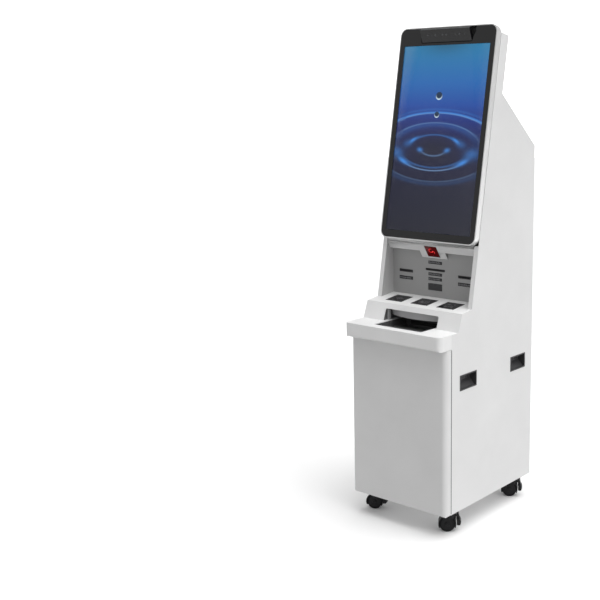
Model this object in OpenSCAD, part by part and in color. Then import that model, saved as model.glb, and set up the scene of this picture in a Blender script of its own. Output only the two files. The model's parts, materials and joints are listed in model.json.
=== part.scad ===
// Self-service cash terminal: a narrow steel cabinet on four twin-wheel casters, with a leaning
// portrait touchscreen, a recessed fascia, a reader shelf and a cash tray in a projecting ledge.
// Millimetres. +Z is up and the user stands on the -Y side. The origin is on the floor, midway
// across the cabinet and midway front to back.

/* [Cabinet] */
// Width over the two side panels
body_w = 453; // [451:1:457]
// Depth from the front door's face to the rear face
body_d = 583; // [580:1:590]
// Height of the cabinet's underside above the floor
body_z = 92; // [92:1:96]
// Height of the rear face's top edge, where the sloped cover begins
rear_h = 1433; // [1425:1:1440]
// Height of the slope's upper end
slope_h = 1629; // [1615:1:1640]
// Thickness of the sheet steel
sheet = 2; // [1.5:0.5:2]

/* [Console] */
// How far the ledge stands out in front of the door
ledge_out = 36; // [32:1:40]
// Height of the ledge's top face
ledge_h = 776; // [774:1:778]
// Height of the ledge's underside
ledge_under = 722; // [720:1:724]
// Height of the reader shelf's front edge
shelf_h = 841; // [840:1:843]
// Upward tilt of the reader shelf, in degrees
shelf_tilt = 6; // [5:0.5:7]
// Wall thickness of the console moulding
skin = 3; // [3:0.5:3.5]

/* [Display] */
// Backward lean of the display and of the cabinet's upper part, in degrees
lean = 10; // [9.5:0.5:10.5]
// Width of the display's front glass
glass_w = 441; // [438:1:442]
// Length of the display's front glass
glass_l = 803; // [800:1:804]
// How far the camera bar is tilted out of the display at rest, in degrees
bar_tilt = 30; // [26:1:30]

/* [Casters] */
// Radius of the caster wheels
wheel_r = 30; // [29:0.5:31]
// Distance of each caster's swivel axis from the cabinet's side
caster_inset = 48.5; // [48:0.5:50]

/* [Hidden] */

// Colours
white_paint = [0.87, 0.87, 0.87];
door_paint = [0.80, 0.80, 0.80];
fascia_paint = [0.62, 0.62, 0.62];
black_plastic = [0.07, 0.07, 0.08];
dark_grey = [0.20, 0.20, 0.21];
zinc = [0.70, 0.72, 0.73];

// A cut goes this far past the face it opens
cut = 1;
// Radial running clearance of every pin, plug and axle
run = 0.05;
// Gap left round a part that is held by its rim or its own fixings
gap = 0.3;

// Cabinet: depths are measured back from the front door's face
door_y = -(body_d - ledge_out) / 2;
half_w = body_w / 2;
in_w = half_w - sheet;
seam_d = 34.5;
riser_d = 74.5;
shelf_d = 99;
cheek_front_d = 160;
slope_d = 349;
top_h = 1840;
fascia_d = 237;
cheek_t = 17.4;
niche_w = in_w - cheek_t;

function d(depth) = door_y + depth;

// The leaning front plane that the cheeks and the display share
function front_plane_d(z) = cheek_front_d + (z - shelf_h) * tan(lean);
function shelf_top(depth) = shelf_h + (depth - shelf_d) * tan(shelf_tilt);

back_top_d = slope_d + (top_h - slope_h) * tan(lean);
housing_t = (back_top_d - front_plane_d(top_h)) * cos(lean);
top_front = [back_top_d - housing_t * cos(lean), top_h + housing_t * sin(lean)];
cheek_foot_d = (cheek_front_d - shelf_d * tan(lean) * tan(shelf_tilt))
    / (1 - tan(lean) * tan(shelf_tilt));
cheek_foot = [cheek_foot_d, shelf_top(cheek_foot_d)];

// Display: its own frame starts on the leaning front plane, level with the glass's lower end
frame_t = 26;
rim = 4;
glass_t = 4;
glass_corner = 26;
display_h = 1080;
active_w = 398.5;
active_l = 708;
active_bottom = glass_l - 66 - active_l;
lcd_lip = 5;
lcd_t = 14;
pocket_bottom = active_bottom + active_l + 9;
bar_half = 115;
notch_flare = 15;
bar_t = 12;
bar_l = 51.5;
bar_nose = 3;
bar_front = 7;
bar_axis = [bar_front, pocket_bottom + 7];
bar_pin_r = 2;
lens_x = [-82, -66, -47, -14, 3, 46, 64, 88];
lens_r = [2.6, 1.8, 3.4, 3.4, 3.4, 1.8, 3.4, 1.8];
lens_up = 26;
lens_seat = 5;

// Front door
door_t = 33;
door_corner = 20;
door_bottom = body_z + sheet + 0.5;
door_top = ledge_under - 1.5;
pivot = [half_w - 10, 13];
pivot_r = 4;
lock_d = 60;
lock_z = 426;
lock_plug_r = 6;
lock_proud = 1.5;
cam_x = -half_w + 23;
cam_t = 3;
flange_w = 30;

// Rear door
rear_sill_h = 190;
rear_door_t = 18;
rear_pivot = [in_w - 7.5, body_d - 4];
rear_pivot_r = 3;
rear_lock_z = 800;
rear_lock_x = -190;

// Handle recesses
cup_w = 107;
cup_h = 59;
cup_z = 555;
cup_rim = 2;
cup_depth = 30;
cup_starts = [86, 425];

// Tray
tray_half = 112.5;
mouth_half = 127;
mouth_top = 821;
tray_front_d = 2;
tray_back_d = 200;
tray_wall = 3;

// Fascia
slot_x = 142;
slot_z = 947.5;
slot_size = [66, 11];
note_z = 962.7;
note_size = [91, 5];
window_size = [65, 12];
window_rows = [991, 945.5, 926.7];
side_window_z = 919;
pad_z = 896;
pad_size = [67, 27];
fascia_top = display_h - 4;

// Header beam, seen from the side as a line from the front plane down and back
beam_top = [front_plane_d(1063), 1063];
beam_dir = [0.555, -0.832];
beam_l = 33;
tab_l = 65;
tab_half = 60.5;
scan_size = [58, 53];
scan_mid = 32;

// Reader shelf windows, measured up the tilted shelf
pad_w = 80;
pad_l = 77;
pad_start = 32;
pad_pitch = 123;
pad_t = 4;

// Internal modules
tube = 25;
tube_wall = 2;
upright_d = [196, 536];
upright_x = in_w - tube;
rack_half = 120;
rack_front = 70;
rack_back = 520;
rack_top = 540;
cassette_count = 4;
cassette_h = 102;
roll_r = 38;
roll_d = 352;
roll_z = 950;
spindle_r = 6;
fan_size = 120;
fan_t = 25;
fan_along = 150;
switch_at = [body_d - 9, 126];

// Casters: the order is front left, front right, rear left, rear right
caster_x = half_w - caster_inset;
caster_d = [97, 530];
trail = 12;
wheel_w = 15;
wheel_gap = 6;
axle_r = 4;
kingpin_r = 6;
plate_size = [56, 62];
plate_t = 3;
bolt_half = [15.5, 24];
hood_r = wheel_r + 4;
hood_t = 2.6;
pedal_at = [-27, 66];
pedal_pin_r = 2;
// The casters all trail the same way, as they do when the cabinet has been rolled into place
caster_turn = [202, 217, 200, 210];

// ---------------------------------------------------------------- helpers

// Extrudes a side-view outline, drawn as [depth, height] points, across X
module across_x(w) {
    rotate([90, 0, 90])
        linear_extrude(w, center = true)
            children();
}

module side_view(points) {
    polygon([for (p = points) [d(p[0]), p[1]]]);
}

function unit(v) = v / norm(v);
function normal(a, b) = let (u = unit(b - a)) [-u[1], u[0]];
function mitre(p, i, t) =
    i == 0 ? p[0] + t * normal(p[0], p[1])
    : i == len(p) - 1 ? p[i] + t * normal(p[i - 1], p[i])
    : let (n1 = normal(p[i - 1], p[i]), n2 = normal(p[i], p[i + 1]))
        p[i] + t * (n1 + n2) / (1 + n1 * n2);

// A sheet of thickness t, folded along a side-view line, on the left of the line's direction
module folded_sheet(line, w, t) {
    last = len(line) - 1;
    across_x(w)
        side_view(concat(line, [for (i = [last:-1:0]) mitre(line, i, t)]));
}

module block(size, at) {
    translate(at)
        cube(size);
}

// A box given by its lowest and highest corners, with depths behind the door's face as Y
module span(low, high) {
    block([high[0] - low[0], high[1] - low[1], high[2] - low[2]], [low[0], d(low[1]), low[2]]);
}

// A rectangle with round corners, centred across and starting at y = 0, of exact arcs
module rounded_plate(w, l, r) {
    translate([-w / 2 + r, 0])
        square([w - 2 * r, l]);
    translate([-w / 2, r])
        square([w, l - 2 * r]);
    for (x = [-w / 2 + r, w / 2 - r], y = [r, l - r])
        translate([x, y])
            circle(r, $fn = 96);
}

// Puts children in the display's frame: X across, Y into the screen, Z up along the glass
module on_display() {
    translate([0, d(front_plane_d(display_h)), display_h])
        rotate([-lean, 0, 0])
            translate([0, -frame_t, 0])
                children();
}

// Extrudes a drawing of the display's face into the display, from depth y0 to y1
module display_slab(y0, y1) {
    translate([0, y1, 0])
        rotate([90, 0, 0])
            linear_extrude(y1 - y0)
                children();
}

// Puts children on the tilted shelf: Y up the slope, Z out of it
module on_shelf() {
    translate([0, d(shelf_d), shelf_h])
        rotate([shelf_tilt, 0, 0])
            children();
}

// Puts children on the header beam's face: Y down the face, Z back into the cabinet
module on_header() {
    translate([0, d(beam_top[0]), beam_top[1]])
        rotate([atan2(beam_dir[1], beam_dir[0]), 0, 0])
            children();
}

// Puts children on the inside of the sloped rear cover: Y down the slope, Z out of the cabinet
module on_slope() {
    run_d = body_d - slope_d;
    fall = slope_h - rear_h;
    translate([0, d(slope_d), slope_h])
        rotate([-atan2(fall, run_d), 0, 0])
            children();
}

module fascia_cut(x, z, size) {
    block([size[0], sheet + 2 * cut, size[1]],
          [x - size[0] / 2, d(fascia_d) - cut, z - size[1] / 2]);
}

module x_rod(r, x0, x1, depth, z, facets = 48) {
    translate([x0, d(depth), z])
        rotate([0, 90, 0])
            cylinder(r = r, h = x1 - x0, $fn = facets);
}

// Caster frame: origin on the floor under the swivel axis, X along the trail
module at_caster(i) {
    sx = i % 2 == 0 ? -1 : 1;
    translate([sx * caster_x, d(caster_d[floor(i / 2)]), 0])
        rotate([0, 0, caster_turn[i]])
            children();
}

// ---------------------------------------------------------------- structure

module bolt_holes(r) {
    for (i = [0:3], bx = [-1, 1], by = [-1, 1])
        translate([(i % 2 == 0 ? -1 : 1) * caster_x + bx * bolt_half[0],
                   d(caster_d[floor(i / 2)]) + by * bolt_half[1], body_z - 10])
            cylinder(r = r, h = 20, $fn = 32);
}

module base_plate() {
    anchor_x = 150;
    anchor_d = [150, 430];
    color(white_paint)
        difference() {
            union() {
                folded_sheet([[seam_d, body_z], [body_d, body_z], [body_d, rear_sill_h],
                              [body_d - 20, rear_sill_h]], 2 * in_w, sheet);
                // Tongue that carries the front door's lower pivot pin
                span([pivot[0] - 12, 3, body_z], [half_w - 2, seam_d, body_z + sheet]);
            }
            bolt_holes(3.2);
            for (x = [-anchor_x, anchor_x], y = anchor_d)
                translate([x, d(y), body_z - cut])
                    cylinder(r = 6.5, h = sheet + 2 * cut, $fn = 48);
            translate([pivot[0], d(pivot[1]), body_z - cut])
                cylinder(r = pivot_r, h = sheet + 2 * cut, $fn = 48);
            translate([rear_pivot[0], d(rear_pivot[1]), rear_sill_h - sheet - cut])
                cylinder(r = rear_pivot_r, h = sheet + 2 * cut, $fn = 48);
            // Cut-outs for the mains inlet and the rocker switch
            span([-170, body_d - sheet - cut, 112], [-122, body_d + cut, 140]);
            span([-110, body_d - sheet - cut, 115], [-88, body_d + cut, 137]);
            // Cable entry in the floor
            span([90, 540, body_z - cut], [140, 565, body_z + sheet + cut]);
        }
}

// A square tube along X, Y or Z from its lowest corner
module square_tube(axis, length) {
    inner = tube - 2 * tube_wall;
    size = [for (k = [0:2]) k == axis ? length : tube];
    hole = [for (k = [0:2]) k == axis ? length + 2 * cut : inner];
    shift = [for (k = [0:2]) k == axis ? -cut : tube_wall];
    difference() {
        cube(size);
        translate(shift)
            cube(hole);
    }
}

// Four uprights tied by two side rails, two rear cross tubes and one front cross tube, with a
// keeper on the left rear upright that the rear lock's cam turns behind
module inner_frame() {
    foot = body_z + sheet;
    front_top = 835;
    rear_top = 1400;
    rail_z = 790;
    front_cross_z = 550;
    rear_cross_z = [1090, 1290];
    keeper_d = upright_d[1] + tube;
    color(zinc) {
        for (s = [-1, 1])
            translate([s < 0 ? -in_w : upright_x, 0, 0]) {
                translate([0, d(upright_d[0]), foot])
                    square_tube(2, front_top - foot);
                translate([0, d(upright_d[1]), foot])
                    square_tube(2, rear_top - foot);
                translate([0, d(upright_d[0] + tube), rail_z])
                    square_tube(1, upright_d[1] - upright_d[0] - tube);
            }
        for (z = rear_cross_z)
            translate([-upright_x, d(upright_d[1]), z])
                square_tube(0, 2 * upright_x);
        translate([-upright_x, d(upright_d[0]), front_cross_z])
            square_tube(0, 2 * upright_x);
        span([-216, keeper_d, rear_lock_z - 20], [-213, keeper_d + 7.5, rear_lock_z + 20]);
        span([-216, keeper_d + 5.5, rear_lock_z - 20], [-203, keeper_d + 7.5, rear_lock_z + 20]);
    }
}

module side_outline() {
    side_view([[seam_d, body_z], [body_d, body_z], [body_d, rear_h], [slope_d, slope_h],
               [back_top_d, top_h], top_front, cheek_foot, [shelf_d, shelf_h],
               [riser_d, ledge_h], [seam_d, ledge_h]]);
}

module side_panel(side) {
    color(white_paint)
        difference() {
            translate([side * (half_w - sheet / 2), 0, 0])
                across_x(sheet)
                    side_outline();
            for (start = cup_starts)
                span([-half_w - cut, start + cup_rim - gap, cup_z + cup_rim - gap],
                     [half_w + cut, start + cup_w - cup_rim + gap, cup_z + cup_h - cup_rim + gap]);
            if (side < 0)
                x_rod(9.5 + gap, -half_w - cut, -in_w + cut, lock_d, lock_z);
        }
}

module left_side_panel() {
    side_panel(-1);
}

module right_side_panel() {
    side_panel(1);
}

module upper_rear_cover() {
    lip = rear_h - 2 * sheet;
    line = [[body_d - 20, lip], [body_d, lip], [body_d, rear_h], [slope_d, slope_h],
            [back_top_d, top_h], top_front];
    vent_w = 54;
    vent_h = 4;
    color(white_paint)
        difference() {
            folded_sheet(line, 2 * in_w, sheet);
            on_slope()
                for (k = [-4:4], x = [-1, 1])
                    block([vent_w, vent_h, 30],
                          [x * 31 - vent_w / 2, fan_along + k * 10 - vent_h / 2, -15]);
            translate([rear_pivot[0], d(rear_pivot[1]), lip - cut])
                cylinder(r = rear_pivot_r, h = sheet + 2 * cut, $fn = 48);
        }
}

module side_cheeks() {
    color(white_paint)
        for (s = [-1, 1])
            translate([s * (in_w - cheek_t / 2), 0, 0])
                across_x(cheek_t)
                    side_view([cheek_foot, [fascia_d + sheet, shelf_top(fascia_d + sheet)],
                               [fascia_d + sheet, fascia_top],
                               [front_plane_d(fascia_top), fascia_top]]);
}

module header_beam() {
    lip = beam_top + beam_l * beam_dir;
    color(white_paint)
        difference() {
            union() {
                // Web behind the display, sloped face, and lower return to the fascia
                folded_sheet([[fascia_d, lip[1] + 2], lip, beam_top,
                              [beam_top[0] + 6, beam_top[1] + 2],
                              [beam_top[0] + 6, fascia_top]], 2 * niche_w, -sheet);
                on_header()
                    block([2 * tab_half, tab_l - beam_l + 2, sheet],
                          [-tab_half, beam_l - 2, 0]);
            }
            // Opening for the scanner's window, and for its reader through the return behind it
            on_header()
                block([scan_size[0], scan_size[1], 36],
                      [-scan_size[0] / 2, scan_mid - scan_size[1] / 2, -6]);
        }
}

module scanner_window() {
    color([0.35, 0.02, 0.03])
        on_header()
            block([scan_size[0], scan_size[1], pad_t],
                  [-scan_size[0] / 2, scan_mid - scan_size[1] / 2, 0]);
}

module fascia_panel() {
    hatch = [84, 62];
    color(fascia_paint)
        difference() {
            span([-niche_w, fascia_d, shelf_top(fascia_d + sheet)],
                 [niche_w, fascia_d + sheet, fascia_top]);
            fascia_cut(-slot_x, slot_z, [slot_size[0] - 4, slot_size[1] - 2]);
            fascia_cut(slot_x, slot_z, [slot_size[0] - 4, slot_size[1] - 2]);
            fascia_cut(0, note_z, [note_size[0] + 1, note_size[1] + 4]);
            // Hatch behind the scanner window
            fascia_cut(0, 1032, hatch);
        }
}

// A bezel whose flange lies on the fascia and whose throat goes through it
module slot_bezel(x, z, size, mouth, proud) {
    color(black_plastic)
        difference() {
            union() {
                block([size[0], proud, size[1]],
                      [x - size[0] / 2, d(fascia_d) - proud, z - size[1] / 2]);
                block([mouth[0] + 2, proud + sheet + 4, mouth[1] + 2],
                      [x - mouth[0] / 2 - 1, d(fascia_d) - proud, z - mouth[1] / 2 - 1]);
            }
            block([mouth[0], 40, mouth[1]],
                  [x - mouth[0] / 2, d(fascia_d) - 20, z - mouth[1] / 2]);
        }
}

module receipt_slot_bezel() {
    slot_bezel(-slot_x, slot_z, slot_size, [60, 5], 1.5);
}

module card_slot_bezel() {
    slot_bezel(slot_x, slot_z, slot_size, [57, 5], 1.5);
}

module note_slot_bezel() {
    slot_bezel(0, note_z, [note_size[0], note_size[1] + 1.6], [86, 4.4], 0.8);
}

// Thin indicator windows stuck on the fascia, and the larger pad below them
module indicator_windows() {
    proud = 0.8;
    color(dark_grey) {
        for (z = window_rows)
            block([window_size[0], proud, window_size[1]],
                  [-window_size[0] / 2, d(fascia_d) - proud, z - window_size[1] / 2]);
        for (x = [-slot_x, slot_x])
            block([window_size[0] + 2, proud, window_size[1] + 1],
                  [x - window_size[0] / 2 - 1, d(fascia_d) - proud,
                   side_window_z - window_size[1] / 2]);
        block([pad_size[0], proud, pad_size[1]],
              [-pad_size[0] / 2, d(fascia_d) - proud, pad_z - pad_size[1] / 2]);
    }
}

// ---------------------------------------------------------------- console

// Plan outline of the ledge, with its two front corners round; inset shrinks it all round
module ledge_plan(inset) {
    r = door_corner - inset;
    w = half_w - inset;
    front = -ledge_out + inset;
    translate([-w + r, d(front)])
        square([2 * (w - r), seam_d - front]);
    translate([-w, d(front + r)])
        square([2 * w, seam_d - front - r]);
    for (x = [-w + r, w - r])
        translate([x, d(front + r)])
            circle(r, $fn = 96);
}

module ledge_shell() {
    chamfer = 6.5;
    difference() {
        intersection() {
            translate([0, 0, ledge_under])
                linear_extrude(ledge_h - ledge_under)
                    ledge_plan(0);
            across_x(body_w + 2)
                side_view([[-ledge_out + chamfer, ledge_under], [seam_d, ledge_under],
                           [seam_d, ledge_h], [-ledge_out, ledge_h],
                           [-ledge_out, ledge_under + chamfer]]);
        }
        difference() {
            translate([0, 0, ledge_under + skin])
                linear_extrude(ledge_h - ledge_under - 2 * skin)
                    ledge_plan(skin);
            across_x(body_w + 2)
                side_view([[-ledge_out, ledge_under], [-ledge_out + chamfer + 5, ledge_under],
                           [-ledge_out, ledge_under + chamfer + 5]]);
        }
        // Open back, behind the seam line
        span([-in_w, seam_d - skin - 5, ledge_under + skin], [in_w, seam_d + 5, ledge_h - skin]);
    }
}

// Outline of the tray mouth in the riser, drawn across and up, with round upper corners
module mouth_outline() {
    r = 8;
    translate([-mouth_half, ledge_h])
        square([2 * mouth_half, mouth_top - ledge_h - r]);
    translate([-mouth_half + r, ledge_h])
        square([2 * (mouth_half - r), mouth_top - ledge_h]);
    for (x = [-mouth_half + r, mouth_half - r])
        translate([x, mouth_top - r])
            circle(r, $fn = 64);
}

module console_cover() {
    end_d = fascia_d + sheet;
    color(white_paint)
        difference() {
            union() {
                ledge_shell();
                folded_sheet([[end_d, shelf_top(end_d)], [shelf_d, shelf_h], [riser_d, ledge_h],
                              [seam_d, ledge_h]], 2 * in_w, skin);
                // Floor of the mouth, behind the riser
                span([-mouth_half - 3, riser_d, ledge_h - skin],
                     [mouth_half + 3, tray_back_d, ledge_h]);
            }
            span([-tray_half, tray_front_d, ledge_h - skin - cut],
                 [tray_half, tray_back_d + cut, ledge_h + cut]);
            translate([0, d(riser_d) + 60, 0])
                rotate([90, 0, 0])
                    linear_extrude(80)
                        mouth_outline();
            on_shelf()
                for (k = [-1:1])
                    block([pad_w, pad_l, 4 * skin],
                          [k * pad_pitch - pad_w / 2, pad_start, -2 * skin]);
            translate([pivot[0], d(pivot[1]), ledge_under - cut])
                cylinder(r = pivot_r, h = skin + 2 * cut, $fn = 48);
        }
}

module reader_window(k) {
    color(black_plastic)
        on_shelf()
            block([pad_w, pad_l, pad_t], [k * pad_pitch - pad_w / 2, pad_start, -pad_t]);
}

module tap_reader_window() {
    reader_window(-1);
}

module id_reader_window() {
    reader_window(0);
}

module code_reader_window() {
    reader_window(1);
}

module reader_modules() {
    module_t = 11;
    color(dark_grey) {
        on_shelf()
            for (k = [-1:1])
                block([pad_w - 8, pad_l - 8, module_t],
                      [k * pad_pitch - pad_w / 2 + 4, pad_start + 4, -pad_t - module_t]);
        on_header()
            block([scan_size[0] - 6, scan_size[1] - 8, 24],
                  [-scan_size[0] / 2 + 3, scan_mid - scan_size[1] / 2 + 4, pad_t]);
    }
}

// ---------------------------------------------------------------- tray

module tray_liner() {
    floor_front = ledge_h - 6;
    floor_back = ledge_h - 38;
    outer = tray_half + tray_wall;
    back = tray_back_d + tray_wall;
    roof = mouth_top + tray_wall;
    hood_half = mouth_half + tray_wall;
    outlet = [180, 16];
    color(black_plastic)
        difference() {
            union() {
                // Trough under the ledge, with a floor that falls to the back
                across_x(2 * outer)
                    side_view([[tray_front_d - tray_wall, ledge_h - skin],
                               [tray_front_d - tray_wall, floor_front - tray_wall],
                               [back, floor_back - tray_wall], [back, ledge_h - skin]]);
                // Hood over the mouth, behind the riser
                across_x(2 * hood_half)
                    side_view([[riser_d + 5.5, ledge_h], [riser_d + 23.5, roof],
                               [back, roof], [back, ledge_h]]);
                span([-hood_half, tray_back_d, ledge_h - 30], [hood_half, back, ledge_h + 2]);
            }
            across_x(2 * tray_half)
                side_view([[tray_front_d, ledge_h + 5], [tray_front_d, floor_front],
                           [tray_back_d, floor_back], [tray_back_d, ledge_h + 5]]);
            across_x(2 * mouth_half)
                side_view([[riser_d - 5, ledge_h - 0.01], [riser_d - 5, mouth_top],
                           [tray_back_d, mouth_top], [tray_back_d, ledge_h - 0.01]]);
            span([-outlet[0] / 2, tray_back_d - cut, floor_back + 8],
                 [outlet[0] / 2, back + cut, floor_back + 8 + outlet[1]]);
        }
}

// Curved guard across the upper part of the tray mouth, hung from the hood's roof
module tray_guard() {
    half = mouth_half - gap;
    sag = 30;
    front_d = 97;
    thick = 2.5;
    bottom = 793.5;
    r = (half * half + sag * sag) / (2 * sag);
    color(fascia_paint)
        translate([0, d(front_d) + r, bottom])
            linear_extrude(mouth_top - bottom)
                intersection() {
                    difference() {
                        circle(r, $fn = 360);
                        circle(r - thick, $fn = 360);
                    }
                    translate([-half, -r - 1])
                        square([2 * half, sag + 5]);
                }
}

// ---------------------------------------------------------------- display

// The camera bar's notch, which widens towards the display's top edge, drawn up to a height
module notch_outline(top) {
    foot = bar_half + 2;
    head = foot + notch_flare * (top - pocket_bottom) / (glass_l - pocket_bottom);
    polygon([[-foot, pocket_bottom], [foot, pocket_bottom], [head, top], [-head, top]]);
}

module display_frame() {
    lcd_low = active_bottom - lcd_lip - 1;
    color(white_paint)
        on_display()
            difference() {
                display_slab(0, frame_t)
                    translate([0, -rim])
                        rounded_plate(glass_w + 2 * rim, glass_l + 2 * rim, glass_corner + rim);
                display_slab(-cut, glass_t)
                    translate([0, -gap])
                        rounded_plate(glass_w + 2 * gap, glass_l + 2 * gap, glass_corner + gap);
                display_slab(glass_t, frame_t + cut)
                    translate([-active_w / 2 - lcd_lip - 1, lcd_low])
                        square([active_w + 2 * lcd_lip + 2, active_l + 2 * lcd_lip + 2]);
                display_slab(glass_t, 20)
                    notch_outline(glass_l);
                translate([-bar_half - 10, bar_axis[0], bar_axis[1]])
                    rotate([0, 90, 0])
                        cylinder(r = bar_pin_r + run, h = 2 * bar_half + 20, $fn = 32);
            }
}

module display_glass() {
    color(black_plastic)
        on_display()
            difference() {
                display_slab(0, glass_t)
                    rounded_plate(glass_w, glass_l, glass_corner);
                // Notch for the camera bar, out through the glass's top edge
                display_slab(-cut, glass_t + cut)
                    notch_outline(glass_l + 2);
            }
}

module lcd_panel() {
    color([0.05, 0.15, 0.45])
        on_display()
            display_slab(glass_t, glass_t + lcd_t)
                translate([-active_w / 2 - lcd_lip, active_bottom - lcd_lip])
                    square([active_w + 2 * lcd_lip, active_l + 2 * lcd_lip]);
}

module display_backplate() {
    plate_w = 430;
    vent = [60, 5];
    color(zinc)
        on_display()
            difference() {
                display_slab(frame_t, frame_t + sheet)
                    translate([-plate_w / 2, 8])
                        square([plate_w, 760]);
                for (k = [0:5], x = [-100, 100])
                    block([vent[0], 20, vent[1]], [x - vent[0] / 2, frame_t - 5, 560 + k * 14]);
            }
}

// The camera bar's section, drawn closed: depth and height from its pivot
module bar_section() {
    translate([-bar_front + bar_nose, 0])
        circle(bar_nose, $fn = 48);
    translate([-bar_front, 0])
        square([bar_t, bar_l - bar_nose]);
    translate([-bar_front + bar_nose, -bar_nose])
        square([bar_t - bar_nose, bar_nose + 1]);
}

// Puts children in the tilted camera bar's frame: Y through the bar, Z up its face
module on_bar() {
    on_display()
        translate([0, bar_axis[0], bar_axis[1]])
            rotate([bar_tilt, 0, 0])
                children();
}

module camera_bar() {
    color(black_plastic)
        on_bar()
            difference() {
                union() {
                    rotate([90, 0, 90])
                        linear_extrude(2 * bar_half, center = true)
                            bar_section();
                    translate([-bar_half - 8, 0, 0])
                        rotate([0, 90, 0])
                            cylinder(r = bar_pin_r, h = 2 * bar_half + 16, $fn = 32);
                }
                for (k = [0:len(lens_x) - 1])
                    translate([lens_x[k], -bar_front - cut, lens_up])
                        rotate([-90, 0, 0])
                            cylinder(r = lens_r[k] + 0.1, h = lens_seat + cut, $fn = 32);
            }
}

module camera_lenses() {
    color([0.02, 0.02, 0.03])
        on_bar()
            for (k = [0:len(lens_x) - 1])
                translate([lens_x[k], -bar_front + 0.4, lens_up])
                    rotate([-90, 0, 0])
                        cylinder(r = lens_r[k], h = lens_seat - 0.4, $fn = 32);
}

// ---------------------------------------------------------------- handles and locks

// One moulded cup: a thin rim on the panel and a pocket whose floor ramps up to a finger lip
module handle_cup() {
    w = cup_w - 2 * cup_rim;
    h = cup_h - 2 * cup_rim;
    wall = 2.5;
    difference() {
        union() {
            block([lock_proud, cup_w, cup_h], [0, 0, 0]);
            translate([0, cup_w - cup_rim, 0])
                rotate([90, 0, 0])
                    linear_extrude(w)
                        polygon([[0, cup_rim], [-8, cup_rim], [-cup_depth, cup_h * 0.45],
                                 [-cup_depth, cup_h - cup_rim], [0, cup_h - cup_rim]]);
        }
        translate([0, cup_w - cup_rim - wall, 0])
            rotate([90, 0, 0])
                linear_extrude(w - 2 * wall)
                    polygon([[lock_proud + 1, cup_rim + wall], [-7, cup_rim + wall],
                             [-cup_depth + wall, cup_h * 0.45 + wall],
                             [-cup_depth + wall, cup_h - cup_rim - wall],
                             [lock_proud + 1, cup_h - cup_rim - wall]]);
    }
}

module handle_cups() {
    color(dark_grey)
        for (side = [0, 1], start = cup_starts)
            mirror([side, 0, 0])
                translate([half_w, d(start), cup_z])
                    handle_cup();
}

module side_lock_barrel() {
    color(zinc)
        difference() {
            union() {
                x_rod(12, -half_w - lock_proud, -half_w, lock_d, lock_z);
                x_rod(9.5, -half_w, -half_w + 20, lock_d, lock_z);
                x_rod(13, -in_w, -in_w + 5, lock_d, lock_z, 6);
            }
            x_rod(lock_plug_r + run, -half_w - 5, -half_w + 25, lock_d, lock_z);
        }
}

// Lock plug and hook cam; at rest the hook points up, clear of the door
module side_lock_plug() {
    arm = 38;
    foot = 18;
    half = 6;
    color(zinc)
        difference() {
            union() {
                x_rod(lock_plug_r, -half_w - lock_proud, cam_x + cam_t, lock_d, lock_z);
                x_rod(9, cam_x - 2.5, cam_x, lock_d, lock_z);
                span([cam_x, lock_d - half, lock_z - half],
                     [cam_x + cam_t, lock_d + half, lock_z + arm]);
                span([cam_x, lock_d - foot, lock_z + arm - 8],
                     [cam_x + cam_t, lock_d, lock_z + arm]);
            }
            // Keyway
            span([-half_w - lock_proud - cut, lock_d - 0.8, lock_z - 4],
                 [-half_w + 8, lock_d + 0.8, lock_z + 4]);
        }
}

// ---------------------------------------------------------------- doors

// Plan outline of the front door, with its two front corners round
module door_plan(inset) {
    r = door_corner - inset;
    w = half_w - inset;
    intersection() {
        union() {
            translate([-w + r, d(inset)])
                square([2 * (w - r), door_t]);
            translate([-w, d(inset + r)])
                square([2 * w, door_t]);
            for (x = [-w + r, w - r])
                translate([x, d(inset + r)])
                    circle(r, $fn = 96);
        }
        translate([-w, d(inset)])
            square([2 * w, door_t - inset]);
    }
}

module front_door() {
    slot_low = lock_z - 6.5;
    color(door_paint)
        difference() {
            union() {
                difference() {
                    translate([0, 0, door_bottom])
                        linear_extrude(door_top - door_bottom)
                            door_plan(0);
                    translate([0, 0, door_bottom + sheet])
                        linear_extrude(door_top - door_bottom - 2 * sheet)
                            door_plan(sheet);
                    span([-half_w + flange_w, door_t - 5, door_bottom + flange_w],
                         [half_w - flange_w, door_t + cut, door_top - flange_w]);
                    // Leaves a return flange of one sheet thickness along the two sides
                    span([-in_w, door_t - sheet - cut, door_bottom + sheet],
                         [in_w, door_t - sheet, door_top - sheet]);
                }
                span([-in_w, door_t - sheet, door_bottom], [-half_w + flange_w, door_t, door_top]);
                span([half_w - flange_w + 9, door_t - sheet, door_bottom],
                     [in_w, door_t, door_top]);
                // Stiffening channel down the middle of the pan
                span([-40, sheet, door_bottom], [40, 14, door_top]);
                for (z = [door_bottom, door_top - 6])
                    translate([pivot[0], d(pivot[1]), z])
                        cylinder(r = 9, h = 6, $fn = 64);
            }
            span([-40 + sheet, sheet - 0.01, door_bottom + sheet],
                 [40 - sheet, 14 - sheet, door_top - sheet]);
            translate([pivot[0], d(pivot[1]), door_bottom - cut])
                cylinder(r = pivot_r + run, h = door_top - door_bottom + 2 * cut, $fn = 48);
            // Notch in the flange that the hook cam turns down into
            span([cam_x - 2, door_t - 4, slot_low],
                 [-half_w + flange_w + cut, door_t + cut, lock_z + 44]);
        }
}

module door_pivot_pins() {
    color(zinc) {
        translate([pivot[0], d(pivot[1]), body_z])
            cylinder(r = pivot_r, h = 12, $fn = 48);
        translate([pivot[0], d(pivot[1]), door_top - 10])
            cylinder(r = pivot_r, h = ledge_under + skin - door_top + 10, $fn = 48);
        translate([rear_pivot[0], d(rear_pivot[1]), rear_sill_h - sheet])
            cylinder(r = rear_pivot_r, h = 12, $fn = 48);
        translate([rear_pivot[0], d(rear_pivot[1]), rear_h - 12])
            cylinder(r = rear_pivot_r, h = 10, $fn = 48);
    }
}

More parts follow.
